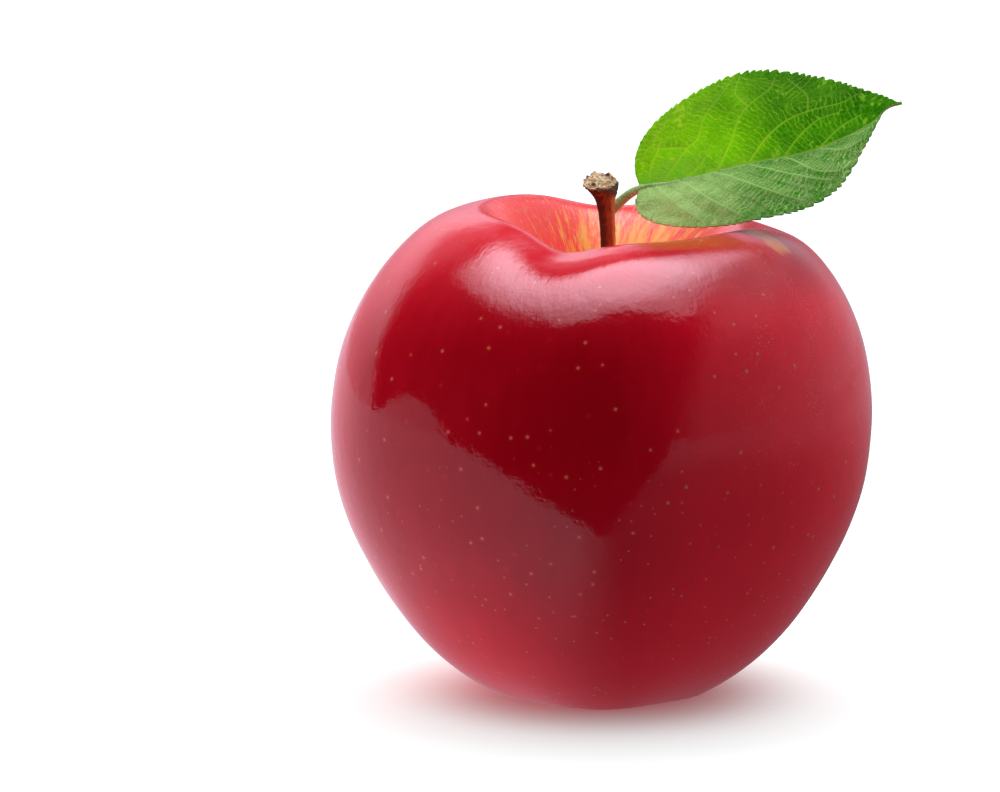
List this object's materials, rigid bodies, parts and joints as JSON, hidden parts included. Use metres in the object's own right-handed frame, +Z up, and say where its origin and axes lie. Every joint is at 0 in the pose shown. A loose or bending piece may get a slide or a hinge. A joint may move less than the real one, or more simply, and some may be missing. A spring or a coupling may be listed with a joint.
{
  "type": "apple",
  "caption": "Ripe red apple with a dried woody stem and a green leaf, standing on the small flat spot of its base.",
  "frame": {"origin": "centre of the bottom face of the bounding box, on the surface that the apple stands on", "axes": "+Z up along the core, from the calyx to the stem; +X to the right, the way that the leaf points; -Y to the front"},
  "size_m": [0.0798, 0.076, 0.0869],
  "materials": {
    "fruit_skin": "waxy gloss with fine streaks and pale dots",
    "stem_bark": "dry and matte, ridged along its length",
    "leaf_blade": "satin, veined, with pale down on the lower half",
    "dried_calyx": "dry and matte"
  },
  "bodies": {
    "root": {"fruit": "fruit_skin", "stem": "stem_bark", "leaf": "leaf_blade", "sepal_1": "dried_calyx", "sepal_2": "dried_calyx", "sepal_3": "dried_calyx", "sepal_4": "dried_calyx", "sepal_5": "dried_calyx", "stamen_tuft": "dried_calyx"}
  },
  "joints": []
}
